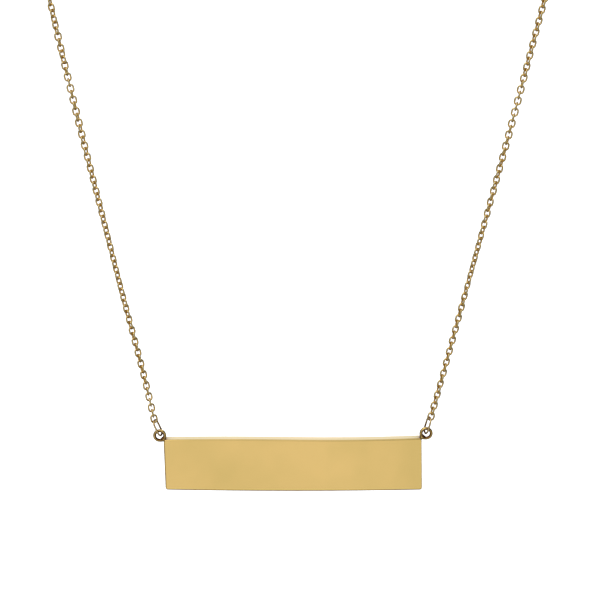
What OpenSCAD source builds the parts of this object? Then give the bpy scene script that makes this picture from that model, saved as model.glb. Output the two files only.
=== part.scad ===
// Nameplate necklace: a blank bar on a fine cable chain, hung round a neck.
// Millimetres. +X is the viewer's right, +Y is the back, +Z is up.
// The origin is the nape, where the clasp rests.

/* [Nameplate] */
// Width of the bar
plate_w = 32; // [28:0.5:33]
// Height of the bar at its left end
plate_h = 6.6; // [5:0.1:9]
// Thickness of the bar
plate_t = 1.1; // [0.8:0.1:1.6]
// Rise of the top edge from the left end to the right end
top_rise = 0.2; // [0:0.05:0.3]
// How far the left end edge leans to the right at the bottom
left_end_lean = 0.2; // [0:0.05:0.3]
// How far the right end edge leans to the right at the bottom
right_end_lean = 0.1; // [0:0.05:0.3]
// How far the middle of the bar bows to the front
plate_bow = 0.3; // [0.1:0.05:0.8]
// Radius of the bar's four corners
corner_r = 0.3; // [0.1:0.05:0.6]

/* [Corner rings] */
// Outer diameter of each soldered ring
ring_d = 1.66; // [1.6:0.02:1.74]
// Wire of each soldered ring
ring_wire = 0.4; // [0.3:0.02:0.42]
// Left ring's centre beyond the end of the bar
left_ring_out = 0.47; // [0.4:0.01:0.56]
// Left ring's centre above the top edge of the bar
left_ring_up = 0.47; // [0.4:0.01:0.56]
// Right ring's centre beyond the end of the bar
right_ring_out = 0.55; // [0.4:0.01:0.56]
// Right ring's centre above the top edge of the bar
right_ring_up = 0.57; // [0.4:0.01:0.58]
// Diameter of the solder bead on each corner
solder_d = 0.6; // [0.54:0.02:0.7]

/* [End links] */
// Outer length of each end link
end_link_l = 2.34; // [2.28:0.02:2.4]
// Outer width of each end link
end_link_w = 1.46; // [1.42:0.02:1.52]
// Wire of each end link
end_link_wire = 0.24; // [0.2:0.01:0.26]
// Lean of the left end link from upright, in degrees
left_lean = 24; // [20:1:26]
// Lean of the right end link from upright, in degrees
right_lean = 16; // [12:1:18]
// Turn of each end link about its own length, its front leg outward, in degrees
end_link_turn = 18; // [10:1:20]
// Where each end link bears on its ring, outward from the top, in degrees
bearing_angle = 4; // [0:1:6]

/* [Chain] */
// Width across the chain
chain_w = 0.95; // [0.8:0.05:1]

/* [Clasp] */
// Outer diameter of the spring ring
clasp_d = 5.4; // [5:0.1:6]
// Tube of the spring ring
clasp_tube = 1; // [0.9:0.05:1.1]
// Outer diameter of the soldered eye
eye_d = 2.2; // [2:0.05:2.4]
// Wire of the soldered eye
eye_wire = 0.5; // [0.4:0.02:0.5]
// Outer diameter of each closed ring beside the clasp
clasp_link_d = 2.34; // [2.2:0.02:2.4]
// Wire of each closed ring beside the clasp
clasp_link_wire = 0.44; // [0.36:0.02:0.46]

/* [Place on the neck] */
// Hanging plane of the bar, in front of the nape
hang_y = 78; // [78:0.5:78.5]
// Top edge of the bar below the nape
hang_z = 139; // [139:0.1:139.2]

/* [Hidden] */

gold = [0.86, 0.73, 0.44];
pale_gold = [0.91, 0.82, 0.6];
$fn = 48;
left = -1;
right = 1;
// Gap between the clasp and the closed rings that pull on it
gap = 0.1;
// Depth to which the eye is let into the clasp's tube where it is soldered
eye_seat = 0.15;

// The bar bows on one large arc. A third of the bow lies in front of the hanging
// plane and two thirds behind, so the bar balances and hangs upright.
bow_r = (plate_w * plate_w / 4 + plate_bow * plate_bow) / (2 * plate_bow);
bow_facets = 720;
middle_y = -hang_y - plate_bow / 3;
end_y = -hang_y + plate_bow * 2 / 3;
plate_top_z = -hang_z;

ring_r = (ring_d - ring_wire) / 2;
end_link_r = (end_link_w - end_link_wire) / 2;
end_link_leg = end_link_l - end_link_w;

clasp_r = (clasp_d - clasp_tube) / 2;
eye_r = (eye_d - eye_wire) / 2;
clasp_link_r = (clasp_link_d - clasp_link_wire) / 2;
// Distances along the clasp from the centre of its spring ring
eye_x = clasp_d / 2 + eye_d / 2 - eye_seat;
left_link_x = clasp_r - clasp_tube / 2 - gap - clasp_link_wire / 2 + clasp_link_r;
right_link_x = eye_x + eye_r - eye_wire / 2 - gap - clasp_link_wire / 2 + clasp_link_r;
clasp_shift = (left_link_x - right_link_x) / 2;
clasp_y = clasp_link_d / 2 + gap;

// Route of each chain, from its end link at the bar up and round to the clasp
left_route = [
    [-17.2, -78, -136.1], [-18.5, -78, -130], [-20.9, -78, -120], [-23.2, -78, -110],
    [-25.5, -78, -100], [-27.7, -78, -90], [-29.8, -78, -80], [-32, -77.7, -70],
    [-34.8, -76.4, -60.6], [-38.2, -73.3, -51.9], [-42, -68.1, -44.2], [-45.6, -61, -37.4],
    [-48.6, -52.4, -31.4], [-50, -43, -25.7], [-49.4, -33.6, -20.4], [-46.6, -25, -15.4],
    [-41.7, -17.5, -11], [-35.2, -11.3, -7.2], [-27.5, -6.4, -4.2], [-19.2, -2.8, -2],
    [-11.4, -0.2, -0.7], [-4.9, 1.1, -0.1]];
right_route = [
    [17.2, -78, -135.8], [18.7, -78, -130], [21.2, -78, -120], [23.7, -78, -110],
    [26.2, -78, -100], [28.6, -78, -90], [31, -78, -80], [33.3, -77.7, -70],
    [35.8, -76.4, -60.6], [39, -73.3, -51.9], [42.5, -68.1, -44.2], [45.8, -61, -37.4],
    [48.7, -52.4, -31.4], [50, -43, -25.7], [49.4, -33.6, -20.4], [46.6, -25, -15.4],
    [41.7, -17.5, -11], [35.2, -11.3, -7.2], [27.5, -6.4, -4.2], [19.2, -2.8, -2],
    [11.4, -0.2, -0.7], [4.9, 1.1, -0.1]];
tube_rings = 40;
tube_sides = 8;
// The neck's axis, which the tube's flats face
neck_axis = [0, -46, 0];

function corner_x(side) = side * plate_w / 2;
function corner_z(side) = plate_top_z + (side == right ? top_rise : 0);
function ring_centre(side) =
    let(out = side == left ? left_ring_out : right_ring_out)
    let(up = side == left ? left_ring_up : right_ring_up)
    [corner_x(side) + side * out, -hang_y, corner_z(side) + up];
function bearing(side) =
    ring_centre(side) + ring_r * [side * sin(bearing_angle), 0, cos(bearing_angle)];

// Points of a rounded corner between two edges that meet at p
function rounded(before, p, after, r) =
    let(a = (before - p) / norm(before - p), b = (after - p) / norm(after - p))
    let(half = acos(a * b) / 2, mid = (a + b) / norm(a + b))
    let(c = p + mid * r / sin(half), from = p + a * r / tan(half) - c)
    let(to = p + b * r / tan(half) - c, sweep = acos(from * to / r / r))
    let(way = from[0] * to[1] - from[1] * to[0] > 0 ? 1 : -1)
    [for (s = [0:5]) let(t = way * sweep * s / 5)
        c + [from[0] * cos(t) - from[1] * sin(t), from[0] * sin(t) + from[1] * cos(t)]];

// Smooth curve through the points of a route, at t = 0 to len(route) - 1
function route_point(route, i) =
    i < 0 ? 2 * route[0] - route[1] :
    i >= len(route) ? 2 * route[len(route) - 1] - route[len(route) - 2] : route[i];
function along(route, t) =
    let(i = min(floor(t), len(route) - 2), f = t - i)
    let(a = route_point(route, i - 1), b = route[i], c = route[i + 1])
    let(d = route_point(route, i + 2))
    b + 0.5 * f * (c - a + f * (2 * a - 5 * b + 4 * c - d + f * (3 * (b - c) + d - a)));
function unit(v) = v / norm(v);
function tangent(route, t) =
    unit(along(route, min(t + 0.01, len(route) - 1)) - along(route, max(t - 0.01, 0)));
function outward(p, heading) =
    let(v = [p[0] - neck_axis[0], p[1] - neck_axis[1], 0])
    unit(v - (v * heading) * heading);
function tube_ring(p, heading) =
    let(n = outward(p, heading), m = cross(heading, n))
    [for (j = [0:tube_sides - 1]) let(a = 360 * (j + 0.5) / tube_sides)
        p + chain_w / 2 * (cos(a) * n + sin(a) * m)];

module wire_ring(r, wire) {
    rotate([90, 0, 0]) rotate_extrude() translate([r, 0]) circle(d = wire);
}

module bar_outline() {
    top_left = [corner_x(left), corner_z(left)];
    top_right = [corner_x(right), corner_z(right)];
    low_right = [corner_x(right) + right_end_lean, plate_top_z - plate_h];
    low_left = [corner_x(left) + left_end_lean, plate_top_z - plate_h];
    polygon(concat(rounded(low_left, top_left, top_right, corner_r),
                   rounded(top_left, top_right, low_right, corner_r),
                   rounded(top_right, low_right, low_left, corner_r),
                   rounded(low_right, low_left, top_left, corner_r)));
}

module bar() {
    intersection() {
        translate([0, -hang_y + plate_t + 1, 0]) rotate([90, 0, 0])
            linear_extrude(2 * plate_t + 2) bar_outline();
        translate([0, middle_y + bow_r, plate_top_z - plate_h - 1])
            linear_extrude(plate_h + top_rise + 2)
            difference() {
                circle(bow_r + plate_t / 2, $fn = bow_facets);
                circle(bow_r - plate_t / 2, $fn = bow_facets);
            }
    }
}

module corner_ring(side) {
    translate(ring_centre(side)) wire_ring(ring_r, ring_wire);
    translate([corner_x(side), (end_y - hang_y) / 2, corner_z(side)]) sphere(d = solder_d);
}

module nameplate() {
    color(gold) union() {
        bar();
        corner_ring(left);
        corner_ring(right);
    }
}

// An oval wire link. Its lower bend is centred on the origin, and it stands up.
module oval_link() {
    for (end = [0, 1])
        translate([0, 0, end * end_link_leg]) rotate([90, end * 180 - 180, 0])
            rotate_extrude(angle = 180) translate([end_link_r, 0]) circle(d = end_link_wire);
    for (leg = [-1, 1])
        translate([leg * end_link_r, 0, 0]) cylinder(d = end_link_wire, h = end_link_leg);
}

module end_link(side) {
    lean = side == left ? left_lean : right_lean;
    color(pale_gold) translate(bearing(side)) rotate([0, side * lean, 0])
        rotate([0, 0, 90 + side * end_link_turn]) oval_link();
}

module chain(route) {
    last = len(route) - 1;
    centres = [for (k = [0:tube_rings - 1]) k * last / (tube_rings - 1)];
    points = [for (t = centres) each tube_ring(along(route, t), tangent(route, t))];
    sides = [for (k = [0:tube_rings - 2], j = [0:tube_sides - 1])
        let(a = k * tube_sides + j, b = k * tube_sides + (j + 1) % tube_sides)
        each [[a, a + tube_sides, b], [b, a + tube_sides, b + tube_sides]]];
    first_cap = [for (j = [0:tube_sides - 1]) j];
    last_cap = [for (j = [tube_sides - 1:-1:0]) (tube_rings - 1) * tube_sides + j];
    color(pale_gold) polyhedron(points, concat([first_cap], sides, [last_cap]));
}

module at_clasp(x) {
    translate([clasp_shift + x, clasp_y, 0]) children();
}

module clasp() {
    color(gold) union() {
        at_clasp(0) wire_ring(clasp_r, clasp_tube);
        at_clasp(eye_x) wire_ring(eye_r, eye_wire);
    }
}

module clasp_link(x) {
    color(pale_gold) at_clasp(x) rotate([90, 0, 0]) wire_ring(clasp_link_r, clasp_link_wire);
}

nameplate();
end_link(left);  // end_link_left
end_link(right);  // end_link_right
chain(left_route);  // chain_left
chain(right_route);  // chain_right
clasp_link(-left_link_x);  // clasp_link_left
clasp_link(right_link_x);  // clasp_link_right
clasp();
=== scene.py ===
"""Looks of a nameplate necklace: a blank gold bar on a fine cable chain.

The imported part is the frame: metres, +X the viewer's right, +Y the back, +Z up, and the
origin at the nape. The sizes below are in millimetres, times MM where they are used.
"""
import math

import bmesh
import bpy
import numpy as np
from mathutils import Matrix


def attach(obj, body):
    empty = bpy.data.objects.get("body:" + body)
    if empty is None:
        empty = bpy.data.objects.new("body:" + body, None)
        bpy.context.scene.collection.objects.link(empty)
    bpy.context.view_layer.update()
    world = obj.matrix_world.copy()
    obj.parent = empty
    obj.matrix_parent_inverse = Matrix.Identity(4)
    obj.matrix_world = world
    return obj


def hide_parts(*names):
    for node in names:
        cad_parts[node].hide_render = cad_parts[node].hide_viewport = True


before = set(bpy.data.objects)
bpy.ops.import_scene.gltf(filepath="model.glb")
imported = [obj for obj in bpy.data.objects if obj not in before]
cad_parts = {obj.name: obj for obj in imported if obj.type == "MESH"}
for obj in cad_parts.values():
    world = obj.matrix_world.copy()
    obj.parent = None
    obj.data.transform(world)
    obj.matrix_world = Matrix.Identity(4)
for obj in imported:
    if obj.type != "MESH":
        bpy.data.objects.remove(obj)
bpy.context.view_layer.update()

MM = 0.001
LEFT, RIGHT = -1, 1
SIDE_NAME = {LEFT: "left", RIGHT: "right"}
X, Y, Z = np.eye(3)

# Bar
PLATE_W, PLATE_H, PLATE_T = 32.0, 6.6, 1.1
TOP_RISE = 0.2
# Polishing left the upper edge wavy and higher at the back, and the lower edge bowed
TOP_WANDER, BACK_RISE, LOW_SAG = 0.09, 0.06, 0.06
END_LEAN = {LEFT: 0.2, RIGHT: 0.1}
PLATE_BOW = 0.3
CORNER_R = 0.3
# How far the rounding reaches in from the long edges and from the ends, and how deep it goes
EDGE_R = 0.16
END_EDGE_R = {LEFT: 0.16, RIGHT: 0.06}
FRONT_EDGE_DEPTH, BACK_EDGE_DEPTH = 0.13, 0.06
# A narrow strip beside each rounded edge keeps the bar's walls shaded flat
EDGE_STRIP = 0.02
HANG_Y, HANG_Z = 78.0, 139.0

# Corner rings and their solder
RING_D, RING_WIRE = 1.66, 0.4
RING_OUT = {LEFT: 0.47, RIGHT: 0.55}
RING_UP = {LEFT: 0.47, RIGHT: 0.57}
SOLDER_SWELL = 0.5
SOLDER_SPREAD = math.radians(24)
SOLDER_BEAD_R = 0.27
SOLDER_BEAD_IN = {LEFT: 0.02, RIGHT: -0.04}

# End links
END_LINK_L, END_LINK_W, END_LINK_WIRE = 2.34, 1.46, 0.24
END_LINK_LEAN = {LEFT: math.radians(24), RIGHT: math.radians(16)}
END_LINK_TURN = math.radians(18)
BEARING_ANGLE = math.radians(4)

# Clasp and the closed rings beside it
CLASP_D, CLASP_TUBE = 5.4, 1.0
EYE_D, EYE_WIRE = 2.2, 0.5
CLASP_LINK_D, CLASP_LINK_WIRE = 2.34, 0.44
GAP = 0.1
EYE_SEAT = 0.15

# Chain
LINK_L, LINK_W, LINK_WIRE = 1.23, 0.97, 0.24
LINK_COUNT = {LEFT: 280, RIGHT: 281}
# From this link on, the photo doesn't show the strand
HIDDEN_FROM = 80
# How far the first link's centre lies past the start of the route, and how far the last
# link's centre lies short of the wire of its closed ring
BAR_REACH, CLASP_SEAT = 0.222, 0.14

# Routes of the two strands, from the end link at the bar up and round to the clasp
ROUTE = {
    LEFT: [
        (-17.2, -78, -136.1), (-18.5, -78, -130), (-20.9, -78, -120), (-23.2, -78, -110),
        (-25.5, -78, -100), (-27.7, -78, -90), (-29.8, -78, -80), (-32, -77.7, -70),
        (-34.8, -76.4, -60.6), (-38.2, -73.3, -51.9), (-42, -68.1, -44.2), (-45.6, -61, -37.4),
        (-48.6, -52.4, -31.4), (-50, -43, -25.7), (-49.4, -33.6, -20.4), (-46.6, -25, -15.4),
        (-41.7, -17.5, -11), (-35.2, -11.3, -7.2), (-27.5, -6.4, -4.2), (-19.2, -2.8, -2),
        (-11.4, -0.2, -0.7), (-4.9, 1.1, -0.1)],
    RIGHT: [
        (17.2, -78, -135.8), (18.7, -78, -130), (21.2, -78, -120), (23.7, -78, -110),
        (26.2, -78, -100), (28.6, -78, -90), (31, -78, -80), (33.3, -77.7, -70),
        (35.8, -76.4, -60.6), (39, -73.3, -51.9), (42.5, -68.1, -44.2), (45.8, -61, -37.4),
        (48.7, -52.4, -31.4), (50, -43, -25.7), (49.4, -33.6, -20.4), (46.6, -25, -15.4),
        (41.7, -17.5, -11), (35.2, -11.3, -7.2), (27.5, -6.4, -4.2), (19.2, -2.8, -2),
        (11.4, -0.2, -0.7), (4.9, 1.1, -0.1)]}

# How far each strand's links have turned from square on and edge on to the camera.
# Each row is a link's number, counted from the bar, and the turns of the even links and of
# the odd ones there, in degrees.
TWIST = {
    LEFT: [
        (0, 12, 0), (4, 22, 3), (8, 27, 22), (13, 31, 18), (18, 36, 28), (22, 44, 40),
        (26, 54, 45), (30, 60, 53), (34, 50, 48), (38, 60, 60), (44, 64, 63), (50, 66, 78),
        (53, 71, 90), (56, 76, 90), (59, 87, 90), (61, 98, 92), (64, 128, 120), (66, 160, 150),
        (68, 190, 187), (70, 218, 222), (73, 248, 240), (80, 270, 262), (110, 290, 290),
        (150, 250, 250), (200, 280, 280), (279, 270, 270)],
    RIGHT: [
        (0, 10, 20), (5, 36, 22), (9, 29, 10), (14, 28, 12), (20, 34, 17), (24, 46, 23),
        (28, 53, 36), (33, 57, 46), (37, 67, 58), (40, 72, 58), (42, 64, 62), (47, 69, 65),
        (50, 75, 82), (54, 85, 90), (59, 90, 90), (62, 112, 112), (70, 110, 117),
        (78, 110, 114), (110, 90, 90), (150, 120, 120), (200, 80, 80), (280, 90, 90)]}

# Mesh detail: steps along a curve or path, and sides round a wire
CORNER_STEPS, EDGE_STEPS = 6, 5
FACE_COLUMNS, FACE_ROWS = 81, 17
# Narrow first and last rows, as a share of the face's height, keep it shaded flat
FACE_EDGE_SHARE = 0.01
RING_STEPS, RING_SIDES = 96, 28
# Other counts than the ring's keep the edges of the clasp's two tubes from meeting
EYE_STEPS, EYE_SIDES = 75, 27
END_LINK_BEND_STEPS, END_LINK_LEG_STEPS, END_LINK_SIDES = 24, 4, 20
LINK_BEND_STEPS, LINK_LEG_STEPS, LINK_SIDES = 11, 3, 12
BEAD_SUBDIVISIONS = 4
ROUTE_STEPS = 60
SHARP_ANGLE = math.radians(35)

# Finish of the gold. A noise's scale is its count of waves in a metre.
WHITE = (1, 1, 1)
TONE_DETAIL = 3
TONE_DEEP_AT, TONE_CLEAR_AT = 0.35, 0.65
POLISH_SCALE, POLISH_DETAIL = 2500, 4
POLISH_LOW, POLISH_HIGH = 0.8, 1.3
# The handling marks run nearly along X, where their noise is drawn out
MARK_SCALE, MARK_DETAIL = 16000, 2
MARK_STRETCH = (0.06, 1, 1)
MARK_TURN = (0, math.radians(6), 0)
# Painted shade: recesses, such as the inside of a ring, are painted darker and browner where the
# gold itself is this near
PAINTED_SHADE_REACH = 1.3
PAINTED_SHADE_SAMPLES = 8
PAINTED_SHADE_FULL_AT, PAINTED_SHADE_GONE_AT = 0.6, 0.96
RING_PAINTED_SHADE = (0.2, 0.1, 0.04)
LINK_PAINTED_SHADE = (1, 0.95, 0.9)
# Painted shade: a brown band painted on the inside of each corner ring. From the ring's axis
# outward it is full
#  as far as the first distance and gone at the second.
RING_SHADE_FULL_R, RING_SHADE_GONE_R = 0.56, 0.68
RING_SHADE_COLOUR = (0.2, 0.08, 0.02)

# Studio light, as the gold reflects it. The base level is the same all round.
BASE_LEVEL = 0.08
# Panels: the parts of a direction that fade the light in, each with its value where there is
# none and where it is full, and the level. The part aside is x without its sign.
PANELS = {
    "ceiling": ([("z", 0.5, 0.75), ("aside", 0.8, 0.5)], 0.75),
    "table": ([("z", -0.5, -0.75)], 0.12),
    "front": ([("y", -0.3, -0.7), ("z", -0.65, -0.45)], 0.17),
    "card": ([("y", -0.4, -0.7), ("aside", 0.34, 0.14), ("z", 0.12, -0.03),
              ("z", -0.65, -0.45)], 0.51),
    "backdrop": ([("y", 0.6, 0.85), ("aside", 0.42, 0.2), ("z", 0, 0.14), ("z", 0.7, 0.5)], 0.95)}
# The ceiling is dimmer along its middle: the share of its light there, and how far aside the
# dimmer strip starts to fade and ends
CEILING_GAP, GAP_FADES, GAP_ENDS = 0.6, 0.12, 0.28
BACKDROP_TINT = (0.88, 1.02, 1.5)
# Round lights: the direction, the degrees from it where the light fades and ends, and the level
ROUND_LIGHTS = [
    ((-0.45, -0.65, 0.6), 20, 38, 0.7),
    ((-0.641, -0.641, -0.423), 9, 15, 0.55),
    ((0.683, 0.683, -0.259), 10, 16, 0.7),
    ((-0.641, 0.641, 0.423), 9, 15, 0.6),
    ((1, 0, -0.05), 8, 16, 0.3),
    ((-1, 0, -0.05), 8, 16, 0.4)]
# The background as the camera itself sees it
SEEN_LEVEL = 1.05
SUN_LEVEL, SUN_SPREAD = 3.6, math.radians(60)
FLOOR_HALF, FLOOR_Z = 20000, -320
PAPER_COLOUR, PAPER_ROUGHNESS = (0.9, 0.9, 0.9), 0.9

# Camera
CAMERA_AIM = (0.92, -78, -120.87)
CAMERA_ELEVATION = math.radians(18)
CAMERA_DISTANCE = 560
LENS, SENSOR = 273.7, 36
CLIP_START, CLIP_END = 10, 100000


def unit(v):
    return np.asarray(v, float) / np.linalg.norm(v)


def spin(v, axis, angle):
    """The vector v turned about a unit axis."""
    v, axis = np.asarray(v, float), np.asarray(axis, float)
    turned = v * math.cos(angle) + np.cross(axis, v) * math.sin(angle)
    return turned + axis * np.dot(axis, v) * (1 - math.cos(angle))


def add_object(name, data):
    """A new object in the scene from its mesh, lamp or camera."""
    thing = bpy.data.objects.new(name, data)
    bpy.context.scene.collection.objects.link(thing)
    return thing


def make_piece(name, points, faces):
    """A smooth-shaded mesh object from points in millimetres."""
    mesh = bpy.data.meshes.new(name)
    mesh.from_pydata((np.asarray(points) * MM).tolist(), [], [tuple(f) for f in faces])
    mesh.validate()
    mesh.shade_smooth()
    return add_object(name, mesh)


def tube_faces(rings, sides):
    """Quads of a closed tube with its points in order, ring by ring."""
    ring, side = np.meshgrid(np.arange(rings), np.arange(sides), indexing="ij")
    a = ring * sides + side
    b = ring * sides + (side + 1) % sides
    ahead = (ring + 1) % rings * sides
    return np.stack([a, b, ahead + (side + 1) % sides, ahead + side], -1).reshape(-1, 4)


def wire_loop(path, wire, sides):
    """Points of a round wire round a closed flat path, which has columns X and Z."""
    ahead, behind = np.roll(path, -1, 0), np.roll(path, 1, 0)
    along = ahead - behind
    along /= np.linalg.norm(along, axis=1)[:, None]
    outward = np.stack([along[:, 1], -along[:, 0]], 1)
    turn = 2 * math.pi * np.arange(sides) / sides
    radius = np.broadcast_to(np.asarray(wire) / 2, len(path))[:, None]
    flat = path[:, None] + (radius * np.cos(turn))[..., None] * outward[:, None]
    depth = radius * np.sin(turn)
    return np.stack([flat[..., 0], depth, flat[..., 1]], -1).reshape(-1, 3)


def oval_path(length, width, bend_steps, leg_steps):
    """Centre line of an oval link, anticlockwise in X and Z, with its long side upright."""
    r, leg = width / 2, length - width
    bend = math.pi * np.arange(bend_steps) / bend_steps
    step = leg * np.arange(leg_steps) / leg_steps
    top = np.stack([r * np.cos(bend), leg / 2 + r * np.sin(bend)], 1)
    down = np.stack([np.full(leg_steps, -r), leg / 2 - step], 1)
    bottom = -top
    up = -down
    return np.concatenate([top, down, bottom, up])


def circle_path(diameter, steps):
    turn = 2 * math.pi * np.arange(steps) / steps
    return diameter / 2 * np.stack([np.cos(turn), np.sin(turn)], 1)


def placed(points, centre, across, upright):
    """Local points with X along across and Z along upright, moved to a centre."""
    basis = np.stack([across, np.cross(upright, across), upright])
    return points @ basis + np.asarray(centre)


def fused(name, parts):
    """One closed mesh of several overlapping ones."""
    whole = parts[0]
    for other in parts[1:]:
        join = whole.modifiers.new("join", "BOOLEAN")
        join.operation = "UNION"
        join.solver = "EXACT"
        join.object = other
    graph = bpy.context.evaluated_depsgraph_get()
    mesh = bpy.data.meshes.new_from_object(whole.evaluated_get(graph))
    for part in parts:
        bpy.data.objects.remove(part)
    mesh.name = name
    mesh.shade_smooth()
    mesh.set_sharp_from_angle(angle=SHARP_ANGLE)
    return add_object(name, mesh)


def corner(side):
    """The bar's upper corner on one side, before rounding."""
    rise = TOP_RISE if side == RIGHT else 0
    return np.array([side * PLATE_W / 2, -HANG_Y, -HANG_Z + rise])


def ring_centre(side):
    return corner(side) + [side * RING_OUT[side], 0, RING_UP[side]]


def bearing(side):
    """Where the end link's lower bend is centred, at the top of its ring."""
    radius = (RING_D - RING_WIRE) / 2
    lean = np.array([side * math.sin(BEARING_ANGLE), 0, math.cos(BEARING_ANGLE)])
    return ring_centre(side) + radius * lean


def face_grid():
    """X and Z of the bar's flat face inside its rounded edge, in columns of rows, and the
    X part of the way outward at each column's two ends."""
    arc = np.linspace(0, math.pi / 2, CORNER_STEPS + 1)
    left_x, right_x = [side * (PLATE_W / 2 - end_r - (CORNER_R - end_r) * (1 - np.cos(arc)))
                       for side, end_r in END_EDGE_R.items()]
    middle_x = np.linspace(left_x[-1], right_x[-1], FACE_COLUMNS)[1:-1]
    across = np.concatenate([left_x, middle_x, right_x[::-1]])
    flat = np.zeros(len(middle_x))
    corner_drop = (CORNER_R - EDGE_R) * (1 - np.sin(arc))
    drop = np.concatenate([corner_drop, flat, corner_drop[::-1]])
    outward_x = np.concatenate([-np.cos(arc), flat, np.cos(arc)[::-1]])
    way = across / PLATE_W + 0.5
    top = -HANG_Z + TOP_RISE * way + TOP_WANDER * np.sin(2 * math.pi * way) - EDGE_R - drop
    low = -HANG_Z - PLATE_H - LOW_SAG * np.sin(math.pi * way) + EDGE_R + drop
    share = np.linspace(FACE_EDGE_SHARE, 1 - FACE_EDGE_SHARE, FACE_ROWS)
    share = np.concatenate([[0], share, [1]])
    face_x = np.repeat(across[:, None], len(share), 1)
    face_z = low[:, None] + (top - low)[:, None] * share
    return face_x, face_z, outward_x


def rim_outward(face_x, outward_x):
    """X and Z of the way outward at each point of the face, which is nought off its rim."""
    out_x, out_z = np.zeros((2, *face_x.shape))
    out_x[:, 0] = out_x[:, -1] = outward_x
    out_z[:, -1] = np.sqrt(1 - outward_x ** 2)
    out_z[:, 0] = -out_z[:, -1]
    out_x[0], out_x[-1] = LEFT, RIGHT
    out_z[0], out_z[-1] = 0, 0
    out_x *= np.where(face_x < 0, END_EDGE_R[LEFT], END_EDGE_R[RIGHT]) / EDGE_R
    return out_x, out_z


def edge_layers():
    """How far out and how deep each row of points round the bar's edge lies, front to back."""
    turns = np.linspace(0, math.pi / 2, EDGE_STEPS + 1)[1:]
    front = [(EDGE_R * math.sin(a), FRONT_EDGE_DEPTH * (1 - math.cos(a))) for a in turns]
    back = [(EDGE_R * math.sin(a), PLATE_T - BACK_EDGE_DEPTH * (1 - math.cos(a)))
            for a in turns[::-1]]
    front_strip = (EDGE_R, FRONT_EDGE_DEPTH + EDGE_STRIP)
    back_strip = (EDGE_R, PLATE_T - BACK_EDGE_DEPTH - EDGE_STRIP)
    return front + [front_strip, back_strip] + back


def bowed(x, z, depth):
    """Points of the bowed bar, with its leaning ends and high back edge, from flat ones."""
    z = z + BACK_RISE * np.clip((z + HANG_Z) / PLATE_H + 1, 0, 1) * depth / PLATE_T
    bow_r = (PLATE_W ** 2 / 4 + PLATE_BOW ** 2) / (2 * PLATE_BOW)
    # A bow's mean depth is a third of its full depth, so the bar's middle hangs in front
    centre_y = -HANG_Y - PLATE_BOW / 3 + bow_r
    front = centre_y - np.sqrt((bow_r + PLATE_T / 2) ** 2 - x ** 2)
    back = centre_y - np.sqrt((bow_r - PLATE_T / 2) ** 2 - x ** 2)
    y = front + (back - front) * depth / PLATE_T
    way = x / PLATE_W + 0.5
    lean = END_LEAN[LEFT] + (END_LEAN[RIGHT] - END_LEAN[LEFT]) * way
    below_top = -HANG_Z + TOP_RISE * way - z
    return np.stack([x + lean * below_top / PLATE_H, y, z], 1)


def bar():
    """The bowed bar with its rounded corners and edges, as one closed grid."""
    face_x, face_z, outward_x = face_grid()
    out_x, out_z = rim_outward(face_x, outward_x)
    index = np.arange(face_x.size).reshape(face_x.shape)
    rim = np.concatenate([index[:, 0], index[-1, 1:], index[-2::-1, -1], index[0, -2:0:-1]])
    face_x, face_z, out_x, out_z = [grid.ravel() for grid in (face_x, face_z, out_x, out_z)]
    layers = edge_layers()
    xs = [face_x] + [face_x[rim] + out * out_x[rim] for out, _ in layers] + [face_x]
    zs = [face_z] + [face_z[rim] + out * out_z[rim] for out, _ in layers] + [face_z]
    depths = [np.full(len(rim), depth) for _, depth in layers]
    depths = [np.zeros(index.size)] + depths + [np.full(index.size, PLATE_T)]
    points = bowed(np.concatenate(xs), np.concatenate(zs), np.concatenate(depths))

    cells = np.stack([index[:-1, :-1], index[1:, :-1], index[1:, 1:], index[:-1, 1:]], -1)
    cells = cells.reshape(-1, 4)
    loops = [index.size + k * len(rim) + np.arange(len(rim)) for k in range(len(layers))]
    back_start = index.size + len(layers) * len(rim)
    loops = [rim] + loops + [back_start + rim]
    walls = [np.stack([a, b, np.roll(b, -1), np.roll(a, -1)], 1)
             for a, b in zip(loops[:-1], loops[1:])]
    faces = np.concatenate([cells] + walls + [cells[:, ::-1] + back_start])
    return make_piece("bar", points, faces)


def corner_ring(side):
    """A soldered ring. Its wire swells into the solder where it meets the bar's corner."""
    path = circle_path(RING_D - RING_WIRE, RING_STEPS)
    foot = corner(side) - ring_centre(side)
    foot_angle = math.atan2(foot[2], foot[0])
    away = (np.arctan2(path[:, 1], path[:, 0]) - foot_angle + math.pi) % (2 * math.pi) - math.pi
    wire = RING_WIRE * (1 + SOLDER_SWELL * np.exp(-(away / SOLDER_SPREAD) ** 2))
    points = wire_loop(path, wire, RING_SIDES) + ring_centre(side)
    return make_piece("ring", points, tube_faces(RING_STEPS, RING_SIDES))


def solder_bead(side):
    """The bead of solder that fills the angle between a ring and the bar's rounded corner."""
    inward = unit(corner(side) - ring_centre(side))
    centre = corner(side) + SOLDER_BEAD_IN[side] * inward
    shape = bmesh.new()
    bmesh.ops.create_icosphere(shape, subdivisions=BEAD_SUBDIVISIONS, radius=SOLDER_BEAD_R * MM)
    bmesh.ops.translate(shape, verts=shape.verts, vec=centre * MM)
    mesh = bpy.data.meshes.new("bead")
    shape.to_mesh(mesh)
    shape.free()
    return add_object("bead", mesh)


def nameplate():
    parts = [bar()]
    for side in (LEFT, RIGHT):
        parts += [corner_ring(side), solder_bead(side)]
    return fused("bar_and_rings", parts)


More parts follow.
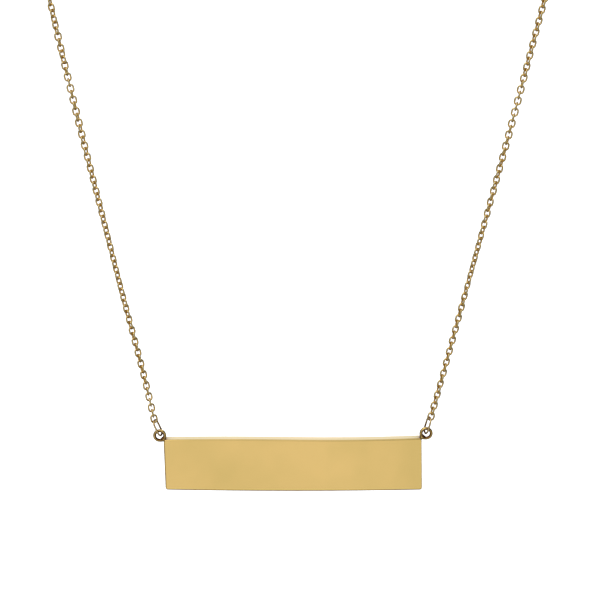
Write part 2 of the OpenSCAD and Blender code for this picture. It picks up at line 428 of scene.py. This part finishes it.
def end_link(side):
    path = oval_path(END_LINK_L - END_LINK_WIRE, END_LINK_W - END_LINK_WIRE,
                     END_LINK_BEND_STEPS, END_LINK_LEG_STEPS)
    lean = side * END_LINK_LEAN[side]
    upright = spin(Z, Y, lean)
    across = spin(spin(X, Z, math.pi / 2 + side * END_LINK_TURN), Y, lean)
    centre = bearing(side) + (END_LINK_L - END_LINK_W) / 2 * upright
    points = placed(wire_loop(path, END_LINK_WIRE, END_LINK_SIDES), centre, across, upright)
    faces = tube_faces(len(path), END_LINK_SIDES)
    return make_piece("oval_link_" + SIDE_NAME[side], points, faces)


def smooth_route(route):
    """Fine points along the same smooth curve as the part's own tube."""
    p = np.asarray(route, float)
    p = np.concatenate([[2 * p[0] - p[1]], p, [2 * p[-1] - p[-2]]])
    f = np.linspace(0, 1, ROUTE_STEPS, endpoint=False)[:, None]
    spans = [b + 0.5 * f * (c - a + f * (2 * a - 5 * b + 4 * c - d + f * (3 * (b - c) + d - a)))
             for a, b, c, d in zip(p[:-3], p[1:-2], p[2:-1], p[3:])]
    return np.concatenate(spans + [p[-2:-1]])


def extended(curve, side):
    """The curve with straight ends added, to the centres of its first and last link."""
    start = curve[0] + BAR_REACH * unit(curve[0] - curve[1])
    _, _, link_x, y = clasp_places()
    wire = np.array([link_x[side] + side * (CLASP_LINK_D - CLASP_LINK_WIRE) / 2, y, 0])
    end = wire - CLASP_SEAT * unit(wire - curve[-1])
    return np.concatenate([[start], curve, [end]])


def evenly(curve, count):
    """Points an equal way apart along a curve."""
    way = np.concatenate([[0], np.cumsum(np.linalg.norm(np.diff(curve, axis=0), axis=1))])
    return np.stack([np.interp(np.linspace(0, way[-1], count), way, c) for c in curve.T], 1)


def link_twist(side, number):
    """How far each link has turned from square on or edge on, in degrees."""
    rows, even_turns, odd_turns = np.array(TWIST[side], float).T
    turns = np.interp(number, rows, even_turns)
    turns[1::2] = np.interp(number[1::2], rows, odd_turns)
    return turns


def untwisted(heading):
    """A way across the strand at each link, first square on and then carried on untwisted."""
    view = [0, math.cos(CAMERA_ELEVATION), -math.sin(CAMERA_ELEVATION)]
    across = [unit(np.cross(view, heading[0]))]
    for ahead in heading[1:]:
        across.append(unit(across[-1] - np.dot(across[-1], ahead) * ahead))
    return across


def chain(side):
    """One strand of interlocked oval links, each about a quarter turn from the next."""
    count = LINK_COUNT[side]
    number = np.arange(count)
    centres = evenly(extended(smooth_route(ROUTE[side]), side), count)
    heading = np.gradient(centres, axis=0)
    heading /= np.linalg.norm(heading, axis=1)[:, None]
    across = untwisted(heading)
    turns = link_twist(side, number) + 90 * number
    # The last link lies upright where it passes round the clasp's closed ring
    last = spin(across[-1], heading[-1], math.radians(turns[-1]))
    miss = math.degrees(math.atan2(np.dot(np.cross(last, Z), heading[-1]), np.dot(last, Z)))
    miss = (miss + 90) % 180 - 90
    turns = turns + miss * np.clip((number - HIDDEN_FROM) / (count - 1 - HIDDEN_FROM), 0, 1)

    path = oval_path(LINK_L - LINK_WIRE, LINK_W - LINK_WIRE, LINK_BEND_STEPS, LINK_LEG_STEPS)
    local = wire_loop(path, LINK_WIRE, LINK_SIDES)
    points = [placed(local, centre, spin(square, ahead, math.radians(turn)), ahead)
              for centre, ahead, square, turn in zip(centres, heading, across, turns)]
    link_faces = tube_faces(len(path), LINK_SIDES)
    faces = [link_faces + len(local) * i for i in range(count)]
    name = "cable_links_" + SIDE_NAME[side]
    return make_piece(name, np.concatenate(points), np.concatenate(faces))


def clasp_places():
    """X of the spring ring, the eye and the two closed rings, and their shared Y."""
    clasp_r = (CLASP_D - CLASP_TUBE) / 2
    eye_r = (EYE_D - EYE_WIRE) / 2
    link_r = (CLASP_LINK_D - CLASP_LINK_WIRE) / 2
    eye = CLASP_D / 2 + EYE_D / 2 - EYE_SEAT
    left = clasp_r - CLASP_TUBE / 2 - GAP - CLASP_LINK_WIRE / 2 + link_r
    right = eye + eye_r - EYE_WIRE / 2 - GAP - CLASP_LINK_WIRE / 2 + link_r
    shift = (left - right) / 2
    y = CLASP_LINK_D / 2 + GAP
    return shift, shift + eye, {LEFT: shift - left, RIGHT: shift + right}, y


def wire_ring(name, diameter, wire, centre, upright, steps=RING_STEPS, sides=RING_SIDES):
    points = wire_loop(circle_path(diameter - wire, steps), wire, sides)
    return make_piece(name, placed(points, centre, X, upright), tube_faces(steps, sides))


def clasp():
    ring_x, eye_x, _, y = clasp_places()
    ring = wire_ring("clasp_ring", CLASP_D, CLASP_TUBE, (ring_x, y, 0), Z)
    eye = wire_ring("clasp_eye", EYE_D, EYE_WIRE, (eye_x, y, 0), Z, EYE_STEPS, EYE_SIDES)
    return fused("ring_clasp", [ring, eye])


def clasp_link(side):
    _, _, link_x, y = clasp_places()
    name = "closed_ring_" + SIDE_NAME[side]
    return wire_ring(name, CLASP_LINK_D, CLASP_LINK_WIRE, (link_x[side], y, 0), Y)


def feed(tree, socket, value):
    """Gives a socket another node's output, or a number or colour of its own."""
    if isinstance(value, bpy.types.NodeSocket):
        tree.links.new(value, socket)
    else:
        socket.default_value = value


def combine(tree, operation, *values):
    """One value from several, taken two at a time."""
    result = values[0]
    for value in values[1:]:
        node = tree.nodes.new("ShaderNodeMath")
        node.operation = operation
        feed(tree, node.inputs[0], result)
        feed(tree, node.inputs[1], value)
        result = node.outputs["Value"]
    return result


def combine_vectors(tree, operation, a, b=(0, 0, 0)):
    node = tree.nodes.new("ShaderNodeVectorMath")
    node.operation = operation
    feed(tree, node.inputs[0], a)
    feed(tree, node.inputs[1], b)
    return node.outputs["Value" if operation in ("LENGTH", "DOT_PRODUCT") else "Vector"]


def fade(tree, value, start, full):
    """0 where the value is at start, 1 where it is at full."""
    node = tree.nodes.new("ShaderNodeMapRange")
    node.interpolation_type = "SMOOTHSTEP"
    node.inputs["From Min"].default_value = min(start, full)
    node.inputs["From Max"].default_value = max(start, full)
    node.inputs["To Min"].default_value = 0 if start < full else 1
    node.inputs["To Max"].default_value = 1 if start < full else 0
    tree.links.new(value, node.inputs["Value"])
    return node.outputs["Result"]


def noise(tree, place, scale, detail):
    node = tree.nodes.new("ShaderNodeTexNoise")
    node.inputs["Scale"].default_value = scale
    node.inputs["Detail"].default_value = detail
    tree.links.new(place, node.inputs["Vector"])
    return node.outputs["Fac"]


def two_colours(tree, value, low, high):
    """A colour between two, each given with the value where it is reached."""
    node = tree.nodes.new("ShaderNodeValToRGB")
    for stop, (position, colour) in zip(node.color_ramp.elements, (low, high)):
        stop.position = position
        stop.color = (*colour, 1)
    tree.links.new(value, node.inputs["Fac"])
    return node.outputs["Color"]


def mixed(tree, share, under, over, blend="MIX"):
    """A share of one colour over another."""
    node = tree.nodes.new("ShaderNodeMix")
    node.data_type = "RGBA"
    node.blend_type = blend
    # A colour mix has its two colours in inputs 6 and 7, and its result in output 2
    for number, value in ((0, share), (6, under), (7, over)):
        feed(tree, node.inputs[number], value)
    return node.outputs[2]


def ring_shaded(tree, place, colour):
    """Painted shade, brown, inside the two corner rings, over a clean colour."""
    for side in (LEFT, RIGHT):
        offset = combine_vectors(tree, "SUBTRACT", place, ring_centre(side) * MM)
        flat = combine_vectors(tree, "MULTIPLY", offset, (1, 0, 1))
        radius = combine_vectors(tree, "LENGTH", flat)
        share = fade(tree, radius, RING_SHADE_GONE_R * MM, RING_SHADE_FULL_R * MM)
        colour = mixed(tree, share, colour, (*RING_SHADE_COLOUR, 1))
    return colour


def gold(name, colour, deep_colour, painted_shade_tint, roughness, tone_scale, mark_height,
         has_ring_shade=False):
    """Polished gold: uneven tone and polish, fine handling marks, and painted shade, brown, in
    the recesses.
    """
    material = bpy.data.materials.new(name)
    material.use_nodes = True
    tree = material.node_tree
    shader = tree.nodes["Principled BSDF"]
    shader.inputs["Metallic"].default_value = 1
    place = tree.nodes.new("ShaderNodeTexCoord").outputs["Object"]

    tone = noise(tree, place, tone_scale, TONE_DETAIL)
    clean = two_colours(tree, tone, (TONE_DEEP_AT, deep_colour), (TONE_CLEAR_AT, colour))
    # Painted shade: the base colour is darkened and browned where ambient occlusion finds other
    # gold near
    occlusion = tree.nodes.new("ShaderNodeAmbientOcclusion")
    occlusion.samples = PAINTED_SHADE_SAMPLES
    occlusion.inputs["Distance"].default_value = PAINTED_SHADE_REACH * MM
    shade = two_colours(tree, occlusion.outputs["AO"], (PAINTED_SHADE_FULL_AT, painted_shade_tint),
                        (PAINTED_SHADE_GONE_AT, WHITE))
    surface = mixed(tree, 1, clean, shade, "MULTIPLY")
    # Painted shade inside the two corner rings
    if has_ring_shade:
        surface = ring_shaded(tree, place, surface)
    tree.links.new(surface, shader.inputs["Base Color"])

    polish = tree.nodes.new("ShaderNodeMapRange")
    polish.inputs["To Min"].default_value = roughness * POLISH_LOW
    polish.inputs["To Max"].default_value = roughness * POLISH_HIGH
    tree.links.new(noise(tree, place, POLISH_SCALE, POLISH_DETAIL), polish.inputs["Value"])
    tree.links.new(polish.outputs["Result"], shader.inputs["Roughness"])

    drawn_out = tree.nodes.new("ShaderNodeMapping")
    drawn_out.inputs["Scale"].default_value = MARK_STRETCH
    drawn_out.inputs["Rotation"].default_value = MARK_TURN
    tree.links.new(place, drawn_out.inputs["Vector"])
    marks = noise(tree, drawn_out.outputs["Vector"], MARK_SCALE, MARK_DETAIL)
    bump = tree.nodes.new("ShaderNodeBump")
    bump.inputs["Strength"].default_value = 1
    bump.inputs["Distance"].default_value = mark_height * MM
    tree.links.new(marks, bump.inputs["Height"])
    tree.links.new(bump.outputs["Normal"], shader.inputs["Normal"])
    return material


def finish_piece(piece, node, body, material):
    """The piece stands for a node of the part, rides on its body and takes its finish."""
    piece.data.materials.clear()
    piece.data.materials.append(material)
    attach(piece, body)
    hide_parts(node)


def panel_shapes(tree, direction):
    """For each panel, 1 in the directions where it is full and 0 beyond its fades."""
    split = tree.nodes.new("ShaderNodeSeparateXYZ")
    tree.links.new(direction, split.inputs["Vector"])
    parts = {part: split.outputs[part.upper()] for part in "xyz"}
    parts["aside"] = combine(tree, "ABSOLUTE", parts["x"], 0)
    shapes = {}
    for name, (fades, _) in PANELS.items():
        shares = [fade(tree, parts[part], none_at, full_at) for part, none_at, full_at in fades]
        shapes[name] = combine(tree, "MULTIPLY", *shares)
    beside_gap = fade(tree, parts["aside"], GAP_FADES, GAP_ENDS)
    beside_gap = combine(tree, "MULTIPLY", beside_gap, 1 - CEILING_GAP)
    gap = combine(tree, "ADD", CEILING_GAP, beside_gap)
    shapes["ceiling"] = combine(tree, "MULTIPLY", shapes["ceiling"], gap)
    return shapes


def round_light(tree, direction, centre, fading, gone, level):
    """Light within an angle of its centre, fading to none at a wider angle, in degrees."""
    nearness = combine_vectors(tree, "DOT_PRODUCT", direction, unit(centre))
    shape = fade(tree, nearness, math.cos(math.radians(gone)), math.cos(math.radians(fading)))
    return combine(tree, "MULTIPLY", shape, level)


def surroundings():
    """What the gold reflects: panels and round lights, with darkness between them."""
    world = bpy.data.worlds.new("studio")
    bpy.context.scene.world = world
    world.use_nodes = True
    tree = world.node_tree
    background = tree.nodes["Background"]
    direction = tree.nodes.new("ShaderNodeTexCoord").outputs["Generated"]
    shapes = panel_shapes(tree, direction)
    panels = [combine(tree, "MULTIPLY", shapes[name], level)
              for name, (_, level) in PANELS.items()]
    rounds = [round_light(tree, direction, *light) for light in ROUND_LIGHTS]
    light = combine(tree, "ADD", BASE_LEVEL, *panels, *rounds)

    in_view = tree.nodes.new("ShaderNodeLightPath").outputs["Is Camera Ray"]
    reflected = combine(tree, "SUBTRACT", 1, in_view)
    tinted = combine(tree, "MULTIPLY", shapes["backdrop"], reflected)
    colour = mixed(tree, tinted, (*WHITE, 1), (*BACKDROP_TINT, 1))
    tree.links.new(colour, background.inputs["Color"])
    level = tree.nodes.new("ShaderNodeMix")
    tree.links.new(in_view, level.inputs["Factor"])
    tree.links.new(light, level.inputs["A"])
    level.inputs["B"].default_value = SEEN_LEVEL
    tree.links.new(level.outputs["Result"], background.inputs["Strength"])


def paper_floor():
    """White paper under the necklace, which the gold doesn't reflect."""
    mesh = bpy.data.meshes.new("floor")
    corners = [(x * FLOOR_HALF * MM, y * FLOOR_HALF * MM, FLOOR_Z * MM)
               for x, y in ((-1, -1), (1, -1), (1, 1), (-1, 1))]
    mesh.from_pydata(corners, [], [(0, 1, 2, 3)])
    paper = bpy.data.materials.new("paper")
    paper.use_nodes = True
    shader = paper.node_tree.nodes["Principled BSDF"]
    shader.inputs["Base Color"].default_value = (*PAPER_COLOUR, 1)
    shader.inputs["Roughness"].default_value = PAPER_ROUGHNESS
    shader.inputs["Specular IOR Level"].default_value = 0
    mesh.materials.append(paper)
    floor = add_object("floor", mesh)
    floor.visible_glossy = False


def overhead_lamp():
    """A broad lamp overhead, which whitens the paper and isn't reflected either."""
    lamp = bpy.data.lights.new("overhead", "SUN")
    lamp.energy = SUN_LEVEL
    lamp.angle = SUN_SPREAD
    overhead = add_object("overhead", lamp)
    overhead.visible_glossy = False


def camera():
    data = bpy.data.cameras.new("camera")
    data.lens = LENS
    data.sensor_width = SENSOR
    data.clip_start = CLIP_START * MM
    data.clip_end = CLIP_END * MM
    holder = add_object("camera", data)
    away = np.array([0, -math.cos(CAMERA_ELEVATION), math.sin(CAMERA_ELEVATION)])
    holder.location = (np.array(CAMERA_AIM) + CAMERA_DISTANCE * away) * MM
    holder.rotation_euler = (math.pi / 2 - CAMERA_ELEVATION, 0, 0)
    bpy.context.scene.camera = holder


camera()
surroundings()
paper_floor()
overhead_lamp()
bpy.context.scene.view_settings.view_transform = "Standard"

bar_gold = gold("bar_gold", colour=(1, 0.695, 0.255), deep_colour=(0.88, 0.63, 0.22),
                painted_shade_tint=RING_PAINTED_SHADE, roughness=0.12, tone_scale=90, mark_height=0.0004,
                has_ring_shade=True)
wire_gold = gold("wire_gold", colour=(1, 0.76, 0.38), deep_colour=(0.95, 0.66, 0.28),
                 painted_shade_tint=RING_PAINTED_SHADE, roughness=0.1, tone_scale=900, mark_height=0.0006)
chain_gold = gold("chain_gold", colour=(0.97, 0.75, 0.34), deep_colour=(0.9, 0.67, 0.27),
                  painted_shade_tint=LINK_PAINTED_SHADE, roughness=0.12, tone_scale=700, mark_height=0.0006)

finish_piece(nameplate(), "nameplate", "plate", bar_gold)
for side in (LEFT, RIGHT):
    name = SIDE_NAME[side]
    finish_piece(end_link(side), "end_link_" + name, "necklace", wire_gold)
    finish_piece(chain(side), "chain_" + name, "necklace", chain_gold)
    finish_piece(clasp_link(side), "clasp_link_" + name, "necklace", wire_gold)
finish_piece(clasp(), "clasp", "necklace", bar_gold)
